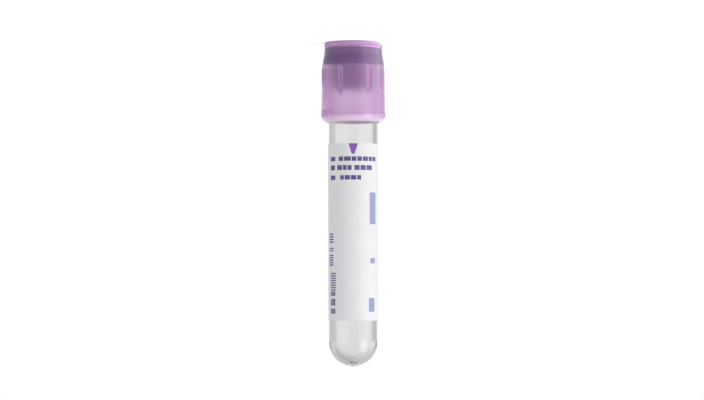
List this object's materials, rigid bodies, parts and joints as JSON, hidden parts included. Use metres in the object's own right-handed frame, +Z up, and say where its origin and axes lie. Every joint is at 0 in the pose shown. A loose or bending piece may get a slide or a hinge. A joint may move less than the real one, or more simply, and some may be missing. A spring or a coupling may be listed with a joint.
{
  "type": "blood collection tube",
  "caption": "Clear round-bottomed blood tube with a wrapped white label, a rubber stopper and a translucent lavender cover that pulls off.",
  "frame": {"origin": "centre of the bounding box's base, on the surface that the closure's ring stands on", "axes": "+Z up along the tube's axis, from the closure's ring to the round end, so the tube stands on its closure; -Y out of the printed side; -X to the print's right, for a reader who holds the closure at the top"},
  "size_m": [0.0162, 0.0162, 0.0808],
  "materials": {
    "clear_plastic": "clear, smooth, glossy",
    "label_paper": "white coated paper, satin",
    "stopper_rubber": "dark violet rubber, matt",
    "cover_plastic": "translucent lavender, satin"
  },
  "bodies": {
    "tube": {"tube": "clear_plastic", "label": "label_paper"},
    "stopper": {"stopper": "stopper_rubber"},
    "cover": {"cover": "cover_plastic"}
  },
  "joints": [
    {"name": "closure_twist", "type": "hinge", "parent": "cover", "child": "stopper", "pos_m": [0, 0, 0.00885], "axis": [0, 0, 1], "continuous": true},
    {"name": "closure_pull", "type": "slide", "parent": "stopper", "child": "tube", "axis": [0, 0, 1], "range_m": [0, 0.025]}
  ]
}
